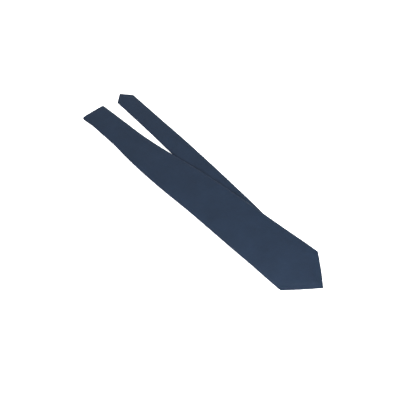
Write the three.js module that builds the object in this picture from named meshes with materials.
// A lined necktie, folded in three and lying on its tail.
// The wide front blade is on top with its front up, the neckband under it has its back up,
// and the narrow tail is at the bottom with its front up. Two folds join them as hinges, and the
// cloth and interlining that roll round each fold are pieces of their own.
//
// Millimetres, +Z up. +X runs from the upper fold to the wide tip, and +Y to the tail's side.
// The origin is at the middle of the bottom of the folded tie.
import * as THREE from 'three';

// Lengths along the tie
const FRONT_LENGTH = 531; // wide tip to the upper fold
const NECK_LENGTH = 460; // upper fold to the lower fold
const TAIL_LENGTH = 476; // lower fold to the narrow tip
const FRONT_TIP_LENGTH = 41; // wide tip to its corners
const TAIL_TIP_LENGTH = 20; // narrow tip to its corners
const SHOULDER_AT = 271; // from the wide tip, where the blade starts to taper faster
const WAIST_AT = 431; // from the wide tip, where that taper ends

// Widths across the tie
const BLADE_WIDTH = 90;
const SHOULDER_WIDTH = 74;
const WAIST_WIDTH = 52.6;
const FOLD_WIDTH = 48.4;
const NECK_WIDTH = 37;
const TAIL_WIDTH = 38;
const TIP_WIDTH = 3; // the blunt end of each point

// Layers, from the front face to the back
const CLOTH = 0.4;
const INTERLINING = 1.4;
const TIPPING = 0.2;
const LAYER_GAP = 0.1;
const THICKNESS = CLOTH + INTERLINING + TIPPING + CLOTH + 3 * LAYER_GAP;
const INTERLINING_TOP = CLOTH + LAYER_GAP;
const TIPPING_TOP = INTERLINING_TOP + INTERLINING + LAYER_GAP;
const FLAP_TOP = THICKNESS - CLOTH;

// How the three lengths lie on each other
const UPPER_FOLD_ROOM = 3.2; // inside the soft upper fold
const UPPER_FOLD_REACH = 60; // along which the front blade comes down from it
const BLADE_ROOM = 1.3; // between the front blade and the neckband from there on
const LOWER_FOLD_ROOM = 0.8; // between the neckband and the tail, and inside the lower fold
const GAP = 0.3; // between pieces that meet end to end
const NECK_TURN = THREE.MathUtils.degToRad(1.85); // the neckband's angle to the blade
const TAIL_TURN_AT_FOLD = THREE.MathUtils.degToRad(10.8); // the tail's angles to the blade
const TAIL_TURN_AT_TIP = THREE.MathUtils.degToRad(5.45);
const TAIL_BEND_AT = 140; // from the lower fold, the middle of the bend between them
const SWAY = 4.6; // how far the blade bows sideways where it climbs over the tail
const SWAY_AT = 182;
const SWAY_SPREAD = 83;
const CLIMB_LENGTH = 80; // the neckband's slope from the table up onto the tail
const CLIMB_CLEARANCE = 60; // from the top of the slope to the tail's edge
const FOLD_STEPS = 8; // facets in the half turn of a fold
const RIB_SETTLE = 30; // along which the cross direction turns from the fold to square

// The back: folded flaps that meet along a slit and open in a V towards each point
const EDGE = 4; // the zone at each side that holds the rounded edge
const SLIT = 0.45; // half of the slit between the flaps
const HEM = 13; // the turned hem at the front blade's point, measured across
const TAIL_HEM = 7;
const FRONT_TACK_AT = 118; // from the tip to where the flaps meet
const TAIL_TACK_AT = 74;
const TIPPING_OVERLAP = 40; // how far the tipping runs on under the flaps
const POINT_INSET = 8; // the lining and interlining stop this far inside a point
const INTERLINING_INSET = 1.2;
const TIPPING_INSET = 1.7;

// Seams, stitches and trim
const SEAM_GAP = 0.8;
const SEAM_AFTER_CLIMB = 32; // the neckband's first seam, past the top of the slope
const TAIL_SEAM_AT = 69; // the second seam, from the lower fold
const THREAD = 0.3;
const KEEPER_AT = 240; // from the wide tip
const KEEPER_WIDTH = 10;
const KEEPER_SPAN = 46;
const KEEPER_CLOTH = 0.45;
const KEEPER_RISE = 0.35; // room under the keeper for the tail
const KEEPER_FOOT = 4;
const TRIM_GAP = 0.12;
const LABEL_AT = 168;
const LABEL_LENGTH = 34;
const LABEL_WIDTH = 52;
const LABEL_CLOTH = 0.25;
const CARE_LABEL_AT = 290;
const CARE_LABEL_LENGTH = 16;
const CARE_LABEL_WIDTH = 24;
const STITCH_LENGTH = 4;
const STITCH_WIDTH = 1.2;
const LOOP_AT = 50; // the spare thread loop, from the narrow tip
const LOOP_RADIUS = 2.2;

const materials = {
  silk: { color: 0x323e50, roughness: 0.62, metalness: 0 },
  wool: { color: 0xd9d3c4, roughness: 0.95, metalness: 0 },
  lining: { color: 0x27303f, roughness: 0.5, metalness: 0 },
  thread: { color: 0x2a3444, roughness: 0.7, metalness: 0 },
  label: { color: 0x1d2430, roughness: 0.55, metalness: 0 },
  care: { color: 0xe6e4de, roughness: 0.6, metalness: 0 },
};

const { lerp, smoothstep } = THREE.MathUtils;

// A value read off a list of [place, value] corners, straight between them.
function along(corners, place) {
  const next = corners.findIndex(([at]) => at >= place);
  if (next === 0) return corners[0][1];
  if (next < 0) return corners[corners.length - 1][1];
  const [fromAt, from] = corners[next - 1];
  const [toAt, to] = corners[next];
  return lerp(from, to, (place - fromAt) / (toAt - fromAt));
}

// Half widths and half openings, by distance from the point of each blade.
const frontHalfWidths = [
  [0, TIP_WIDTH / 2],
  [FRONT_TIP_LENGTH, BLADE_WIDTH / 2],
  [SHOULDER_AT, SHOULDER_WIDTH / 2],
  [WAIST_AT, WAIST_WIDTH / 2],
  [FRONT_LENGTH, FOLD_WIDTH / 2],
];
const frontOpenings = [
  [FRONT_TIP_LENGTH * (HEM / (BLADE_WIDTH / 2)), SLIT],
  [FRONT_TIP_LENGTH, BLADE_WIDTH / 2 - HEM],
  [FRONT_TACK_AT, SLIT],
];
const tailHalfWidths = [
  [0, TIP_WIDTH / 2],
  [TAIL_TIP_LENGTH, TAIL_WIDTH / 2],
  [TAIL_LENGTH, NECK_WIDTH / 2],
];
const tailOpenings = [
  [TAIL_TIP_LENGTH * (TAIL_HEM / (TAIL_WIDTH / 2)), SLIT],
  [TAIL_TIP_LENGTH, TAIL_WIDTH / 2 - TAIL_HEM],
  [TAIL_TACK_AT, SLIT],
];

// The neckband climbs onto the tail before the two cross, and is at its narrowest from there on.
const meanTurn = NECK_TURN + (TAIL_TURN_AT_FOLD + TAIL_TURN_AT_TIP) / 2;
const crossing = NECK_LENGTH - (NECK_WIDTH / 2 + NECK_WIDTH / 2) / Math.tan(meanTurn);
const climbEnd = crossing - CLIMB_CLEARANCE;
const climbStart = climbEnd - CLIMB_LENGTH;
const climb = [
  [climbStart, 0],
  [lerp(climbStart, climbEnd, 0.25), 0.12],
  [lerp(climbStart, climbEnd, 0.75), 0.88],
  [climbEnd, 1],
];
const climbStations = climb.map(([at]) => at);
const neckSeamAt = climbEnd + SEAM_AFTER_CLIMB;

const neckBase = (d) => (THICKNESS + LOWER_FOLD_ROOM) * along(climb, d);
const foldLift = [
  [0, UPPER_FOLD_ROOM],
  [UPPER_FOLD_REACH * 0.3, lerp(UPPER_FOLD_ROOM, BLADE_ROOM, 0.45)],
  [UPPER_FOLD_REACH, BLADE_ROOM],
];
const liftStations = foldLift.map(([at]) => at).slice(1);
const frontBase = (d) => neckBase(d) + THICKNESS + along(foldLift, d);

const heading = (angle) => new THREE.Vector2(Math.cos(angle), Math.sin(angle));
const lowerFold = heading(NECK_TURN).multiplyScalar(NECK_LENGTH);

// The lower fold is square to the line half way between the neckband and the tail.
const lowerFoldTurn = (NECK_TURN - TAIL_TURN_AT_FOLD) / 2;

const frontSway = (d) => -SWAY * Math.exp(-(((d - SWAY_AT) / SWAY_SPREAD) ** 2));

function tailCurve() {
  const leaving = heading(Math.PI - TAIL_TURN_AT_FOLD).multiplyScalar(TAIL_BEND_AT);
  const bend = lowerFold.clone().add(leaving);
  const ending = heading(Math.PI - TAIL_TURN_AT_TIP).multiplyScalar(TAIL_LENGTH - TAIL_BEND_AT);
  return new THREE.QuadraticBezierCurve(lowerFold, bend, bend.clone().add(ending));
}
const tailLine = tailCurve();

// Each length of the tie: where its middle line runs, which way it goes there, how wide and
// how open its back is, and how high it lies. All take the distance from the fold at its start.
// fold is the one that it rolls into, bending towards its back or its front.
const front = {
  frontUp: true,
  middle: (d) => new THREE.Vector2(d, frontSway(d)),
  turn: (d) => Math.atan2(frontSway(d + 1) - frontSway(d - 1), 2) * smoothstep(d, 0, RIB_SETTLE),
  halfWidth: (d) => along(frontHalfWidths, FRONT_LENGTH - d),
  opening: (d) => along(frontOpenings, FRONT_LENGTH - d),
  base: frontBase,
};
const neck = {
  frontUp: false,
  middle: (d) => heading(NECK_TURN).multiplyScalar(d),
  turn: (d) => {
    const leaving = lerp(0, NECK_TURN, smoothstep(d, 0, RIB_SETTLE));
    return lerp(leaving, lowerFoldTurn, smoothstep(d, NECK_LENGTH - RIB_SETTLE, NECK_LENGTH));
  },
  halfWidth: (d) => along([[0, FOLD_WIDTH / 2], [climbEnd, NECK_WIDTH / 2]], d),
  opening: () => SLIT,
  base: neckBase,
  fold: { inside: 'back', room: UPPER_FOLD_ROOM, outward: Math.PI },
};
const tail = {
  frontUp: true,
  middle: (d) => tailLine.getPointAt(d / TAIL_LENGTH),
  turn: (d) => {
    const way = tailLine.getTangentAt(d / TAIL_LENGTH);
    const line = Math.atan2(way.y, way.x) - Math.PI;
    return lerp(lowerFoldTurn, line, smoothstep(d, 0, RIB_SETTLE));
  },
  halfWidth: (d) => along(tailHalfWidths, TAIL_LENGTH - d),
  opening: (d) => along(tailOpenings, TAIL_LENGTH - d),
  base: () => 0,
  fold: { inside: 'front', room: LOWER_FOLD_ROOM, outward: lowerFoldTurn },
};

// Where a point of the tie is. depth runs from the front face (0) to the back (THICKNESS).
function place(body, station, across, depth) {
  const d = station.d + (station.slant ?? 0) * across;
  const rib = heading(body.turn(d) + Math.PI / 2).multiplyScalar(across);
  const plan = body.middle(d).add(rib);
  const base = body.base(d);
  if (station.bend === undefined) {
    const height = body.frontUp ? THICKNESS - depth : depth;
    return new THREE.Vector3(plan.x, plan.y, base + height);
  }
  const { inside, room, outward } = body.fold;
  const radius = room / 2 + (inside === 'front' ? depth : THICKNESS - depth);
  plan.add(heading(outward).multiplyScalar(radius * Math.sin(station.bend)));
  const height = THICKNESS + room / 2 - radius * Math.cos(station.bend);
  return new THREE.Vector3(plan.x, plan.y, base + height);
}

// The half turn of a fold, up from the body that it rolls out of.
const foldStations = Array.from({ length: FOLD_STEPS + 1 }, (_, step) => ({
  d: 0,
  bend: (Math.PI * step) / FOLD_STEPS,
}));

// Section units: 0 to 1 is the opening, 1 to 2 the flap, 2 to 3 the rounded edge zone.
function acrossAt(body, d, unit) {
  const half = body.halfWidth(d);
  const open = Math.min(body.opening(d), half * 0.4);
  const edge = Math.min(EDGE, half * 0.5);
  const size = Math.abs(unit);
  if (size <= 1) return unit * open;
  if (size <= 2) return Math.sign(unit) * lerp(open, half - edge, size - 1);
  return Math.sign(unit) * (half - edge + edge * (size - 2));
}

// On a slanted end, the width is the one where the slanted line crosses the cloth.
function acrossOf(body, station, unit) {
  const square = acrossAt(body, station.d, unit);
  return acrossAt(body, station.d + (station.slant ?? 0) * square, unit);
}
const fromEdge = (inset) => 3 - inset / EDGE;

function signedVolume(position) {
  const [a, b, c] = [new THREE.Vector3(), new THREE.Vector3(), new THREE.Vector3()];
  let volume = 0;
  for (let i = 0; i < position.count; i += 3) {
    a.fromBufferAttribute(position, i);
    b.fromBufferAttribute(position, i + 1);
    c.fromBufferAttribute(position, i + 2);
    volume += a.dot(b.cross(c)) / 6;
  }
  return volume;
}

// Turns every face round when the mapping has mirrored the solid.
function facingOut(geometry) {
  const position = geometry.attributes.position;
  if (signedVolume(position) > 0) return geometry;
  const [b, c] = [new THREE.Vector3(), new THREE.Vector3()];
  for (let i = 0; i < position.count; i += 3) {
    b.fromBufferAttribute(position, i + 1);
    c.fromBufferAttribute(position, i + 2);
    position.setXYZ(i + 1, c.x, c.y, c.z);
    position.setXYZ(i + 2, b.x, b.y, b.z);
  }
  return geometry;
}

const tie = new THREE.Group();

function add(name, geometry, look) {
  geometry.computeVertexNormals();
  const mesh = new THREE.Mesh(geometry, new THREE.MeshStandardMaterial(materials[look]));
  mesh.name = name;
  tie.add(mesh);
}

// Sweeps a section, given as [across, depth] corners, through stations along a body.
function sweep(name, body, section, stations, look, toAcross = acrossOf) {
  const outline = new THREE.Shape(section.map(([x, y]) => new THREE.Vector2(x, y)));
  const steps = stations.length - 1;
  const options = { depth: steps, steps, bevelEnabled: false };
  const geometry = new THREE.ExtrudeGeometry(outline, options);
  const position = geometry.attributes.position;
  for (let i = 0; i < position.count; i += 1) {
    const station = stations[Math.round(position.getZ(i))];
    const across = toAcross(body, station, position.getX(i));
    const point = place(body, station, across, position.getY(i));
    position.setXYZ(i, point.x, point.y, point.z);
  }
  add(name, facingOut(geometry), look);
}

// A plate given in real millimetres: across from its own middle, and depth from the front.
function plate(name, body, section, ends, look) {
  const stations = ends.map((d) => (typeof d === 'number' ? { d } : d));
  sweep(name, body, section, stations, look, (_body, _station, across) => across);
}

const rectangle = (half, from, to) => [[-half, from], [half, from], [half, to], [-half, to]];

// The folded cloth: a front panel, two rounded edges and two flaps that leave the slit.
function shellSection() {
  const bend = 1.2; // how far in the rounding of the edge starts
  const shoulder = 0.35;
  const outer = [
    [1, THICKNESS],
    [fromEdge(bend), THICKNESS],
    [fromEdge(shoulder), THICKNESS - shoulder],
    [3, THICKNESS / 2],
    [fromEdge(shoulder), shoulder],
    [fromEdge(bend), 0],
  ];
  const inner = [
    [fromEdge(bend + 0.1), CLOTH],
    [fromEdge(CLOTH + shoulder), CLOTH + 0.2],
    [fromEdge(CLOTH), THICKNESS / 2],
    [fromEdge(CLOTH + shoulder), FLAP_TOP - 0.2],
    [fromEdge(bend + 0.1), FLAP_TOP],
    [1, FLAP_TOP],
  ];
  const mirrored = (points) => points.map(([x, y]) => [-x, y]).reverse();
  return [...outer, ...mirrored(outer), ...mirrored(inner), ...inner];
}

const flat = (list) => list.map((d) => ({ d }));
const between = (list, from, to) => list.filter((d) => d > from + 1 && d < to - 1);
const rising = (list) => list.sort((a, b) => a - b);
const spread = (from, to, count) =>
  Array.from({ length: count }, (_, i) => lerp(from, to, (i + 1) / (count + 1)));

const neckSlant = 1; // the seams run at 45 degrees, along the cloth's weave
const seamEnd = (at, side) => ({ d: at + (side * SEAM_GAP) / 2, slant: neckSlant });
const seamReach = NECK_WIDTH / 2 + 4;

// Stations of each body, at every corner of its outline and slope.
const frontTips = [0, 0.12, 0.29, 0.63, 1].map((share) => share * FRONT_TIP_LENGTH);
const frontBlends = spread(FRONT_TIP_LENGTH, FRONT_TACK_AT, 2);
const frontRest = [FRONT_TACK_AT, 158, 200, KEEPER_AT, SHOULDER_AT, 305, WAIST_AT];
const frontDistances = rising([
  ...[...frontTips, ...frontBlends, ...frontRest].map((s) => FRONT_LENGTH - s),
  ...climbStations,
  ...liftStations,
  GAP,
]);
const neckDistances = rising([
  GAP,
  RIB_SETTLE,
  ...climbStations,
  ...spread(neckSeamAt + seamReach, NECK_LENGTH - RIB_SETTLE, 3),
  NECK_LENGTH - RIB_SETTLE,
  NECK_LENGTH - GAP,
]);
const tailTips = [0, 0.2, 0.5, 1].map((share) => share * TAIL_TIP_LENGTH);
const tailBlends = spread(TAIL_TIP_LENGTH, TAIL_TACK_AT, 2);
const pastTailSeam = TAIL_SEAM_AT + seamReach + 1;
const tailDistances = rising([
  GAP,
  RIB_SETTLE,
  TAIL_SEAM_AT,
  pastTailSeam,
  ...spread(pastTailSeam, TAIL_LENGTH - TAIL_TACK_AT, 6),
  ...[...tailTips, ...tailBlends, TAIL_TACK_AT].map((s) => TAIL_LENGTH - s),
]);
const interliningSection = rectangle(
  fromEdge(INTERLINING_INSET),
  INTERLINING_TOP,
  INTERLINING_TOP + INTERLINING,
);
const tippingSection = rectangle(fromEdge(TIPPING_INSET), TIPPING_TOP, TIPPING_TOP + TIPPING);

// Front blade: its cloth, interlining and tipping, from the wide tip to the upper fold.
function frontBlade() {
  sweep('front_blade_shell', front, shellSection(), flat(frontDistances), 'silk');
  const inner = FRONT_LENGTH - POINT_INSET;
  const interlined = [GAP, ...between(frontDistances, GAP, inner), inner];
  sweep('front_interlining', front, interliningSection, flat(interlined), 'wool');
  const liningEnd = FRONT_LENGTH - FRONT_TACK_AT - TIPPING_OVERLAP;
  const lined = [liningEnd, ...between(frontDistances, liningEnd, inner), inner];
  sweep('front_tipping', front, tippingSection, flat(lined), 'lining');
}

// Neckband: the end of the front blade's cloth, then the neck piece, over the interlining.
function neckband() {
  sweep('upper_fold_cloth', neck, shellSection(), foldStations, 'silk');
  sweep('upper_fold_interlining', neck, interliningSection, foldStations, 'wool');
  const returned = flat([GAP, ...between(neckDistances, GAP, neckSeamAt - seamReach)]);
  const returnStations = [...returned, seamEnd(neckSeamAt, -1)];
  sweep('front_blade_return', neck, shellSection(), returnStations, 'silk');
  const onward = flat(neckDistances.filter((d) => d > neckSeamAt + seamReach));
  sweep('neck_shell', neck, shellSection(), [seamEnd(neckSeamAt, 1), ...onward], 'silk');
  sweep('neck_interlining', neck, interliningSection, flat(neckDistances), 'wool');
}

// Tail: the end of the neck piece, then the tail's cloth, its interlining and its tipping.
function tailBlade() {
  sweep('lower_fold_cloth', tail, shellSection(), foldStations, 'silk');
  sweep('lower_fold_interlining', tail, interliningSection, foldStations, 'wool');
  const returned = flat([GAP, ...between(tailDistances, GAP, TAIL_SEAM_AT - seamReach)]);
  const returnStations = [...returned, seamEnd(TAIL_SEAM_AT, -1)];
  sweep('neck_shell_return', tail, shellSection(), returnStations, 'silk');
  const onward = flat(tailDistances.filter((d) => d > TAIL_SEAM_AT + seamReach));
  sweep('tail_blade_shell', tail, shellSection(), [seamEnd(TAIL_SEAM_AT, 1), ...onward], 'silk');
  const inner = TAIL_LENGTH - POINT_INSET;
  const interlined = flat([GAP, ...between(tailDistances, GAP, inner), inner]);
  sweep('tail_interlining', tail, interliningSection, interlined, 'wool');
  const liningEnd = TAIL_LENGTH - TAIL_TACK_AT - TIPPING_OVERLAP;
  const lined = flat([liningEnd, ...between(tailDistances, liningEnd, inner), inner]);
  sweep('tail_tipping', tail, tippingSection, lined, 'lining');
}

// Threads: the long slip stitch in the slit, the bar tacks, the seams and the spare loop.
function stitching() {
  const inSlit = [FLAP_TOP + 0.05, THICKNESS - 0.05];
  const slipStitch = rectangle(SLIT - 0.25, ...inSlit);
  const frontEnd = FRONT_LENGTH - FRONT_TACK_AT;
  const frontRun = [2, ...between(frontDistances, 2, frontEnd - 4), frontEnd - 4];
  const neckRun = [2, ...between(neckDistances, 2, NECK_LENGTH - 2), NECK_LENGTH - 2];
  const tailEnd = TAIL_LENGTH - TAIL_TACK_AT;
  const tailRun = [2, ...between(tailDistances, 2, tailEnd - 4), tailEnd - 4];
  plate('front_slip_stitch', front, slipStitch, frontRun, 'thread');
  plate('neck_slip_stitch', neck, slipStitch, neckRun, 'thread');
  plate('tail_slip_stitch', tail, slipStitch, tailRun, 'thread');

  const tack = rectangle(SLIT - 0.15, ...inSlit);
  plate('front_bar_tack', front, tack, [frontEnd - 3, frontEnd - 1.5], 'thread');
  plate('tail_bar_tack', tail, tack, [tailEnd - 3, tailEnd - 1.5], 'thread');

  const seamHalf = NECK_WIDTH / 2 - EDGE;
  const seam = rectangle(seamHalf, 0.05, CLOTH - 0.05);
  const seamEnds = (at) => [-1, 1].map((side) => ({ d: at + (side * THREAD) / 2, slant: neckSlant }));
  plate('front_join_seam', neck, seam, seamEnds(neckSeamAt), 'thread');
  plate('tail_join_seam', tail, seam, seamEnds(TAIL_SEAM_AT), 'thread');

  const loopHeight = THICKNESS - (FLAP_TOP + THICKNESS) / 2;
  const loop = new THREE.TorusGeometry(LOOP_RADIUS, 0.15, 6, 20).toNonIndexed();
  loop.scale(1.6, 1, 1);
  const loopAt = TAIL_LENGTH - LOOP_AT;
  loop.rotateZ(tail.turn(loopAt));
  const spot = tail.middle(loopAt);
  loop.translate(spot.x, spot.y, loopHeight);
  add('spare_thread_loop', loop, 'thread');
}

// Trim on the front blade's back: the keeper for the tail, the label and the care label.
function trim() {
  const back = THICKNESS + TRIM_GAP;
  const half = KEEPER_SPAN / 2;
  const rise = back + KEEPER_RISE;
  const under = [[-half, back], [-half + KEEPER_FOOT, back], [-half + 2 * KEEPER_FOOT, rise]];
  const mirrored = (points) => points.map(([x, y]) => [-x, y]).reverse();
  const lower = [...under, ...mirrored(under)];
  const upper = lower.map(([x, y]) => [x, y + KEEPER_CLOTH]).reverse();
  const keeperAt = FRONT_LENGTH - KEEPER_AT;
  const keeperEnds = [keeperAt - KEEPER_WIDTH / 2, keeperAt + KEEPER_WIDTH / 2];
  plate('keeper_loop', front, [...lower, ...upper], keeperEnds, 'silk');

  // A thread bar across each foot of the keeper.
  const tackDepth = back + KEEPER_CLOTH + TRIM_GAP;
  const tackEnds = [keeperAt - STITCH_LENGTH, keeperAt + STITCH_LENGTH];
  for (const [side, name] of [[-1, 'keeper_right_tack'], [1, 'keeper_left_tack']]) {
    const middle = side * (half - KEEPER_FOOT / 2);
    const bar = rectangle(STITCH_WIDTH / 2, tackDepth, tackDepth + THREAD / 2);
    plate(name, front, bar.map(([x, y]) => [x + middle, y]), tackEnds, 'thread');
  }

  const label = rectangle(LABEL_WIDTH / 2, back, back + LABEL_CLOTH);
  const labelAt = FRONT_LENGTH - LABEL_AT;
  const labelEnds = [labelAt - LABEL_LENGTH / 2, labelAt + LABEL_LENGTH / 2];
  plate('maker_label', front, label, labelEnds, 'label');
  let count = 0;
  for (const [end, inward] of [[labelEnds[0], 1], [labelEnds[1], -1]]) {
    for (const side of [-1, 1]) {
      count += 1;
      const middle = side * (LABEL_WIDTH / 2 - STITCH_WIDTH);
      const top = back + LABEL_CLOTH + TRIM_GAP;
      const bar = rectangle(STITCH_WIDTH / 2, top, top + THREAD / 2);
      const ends = [end + inward, end + inward * (1 + STITCH_LENGTH)].sort((a, b) => a - b);
      plate(`label_stitch_${count}`, front, bar.map(([x, y]) => [x + middle, y]), ends, 'thread');
    }
  }

  const care = rectangle(CARE_LABEL_WIDTH / 2, back, back + LABEL_CLOTH);
  const careAt = FRONT_LENGTH - CARE_LABEL_AT;
  const careEnds = [careAt - CARE_LABEL_LENGTH / 2, careAt + CARE_LABEL_LENGTH / 2];
  plate('care_label', front, care, careEnds, 'care');
}

frontBlade();
neckband();
tailBlade();
stitching();
trim();

// The origin moves to the middle of the bottom of the folded tie.
const box = new THREE.Box3().setFromObject(tie);
tie.position.set(-(box.min.x + box.max.x) / 2, -(box.min.y + box.max.y) / 2, -box.min.z);

export default tie;
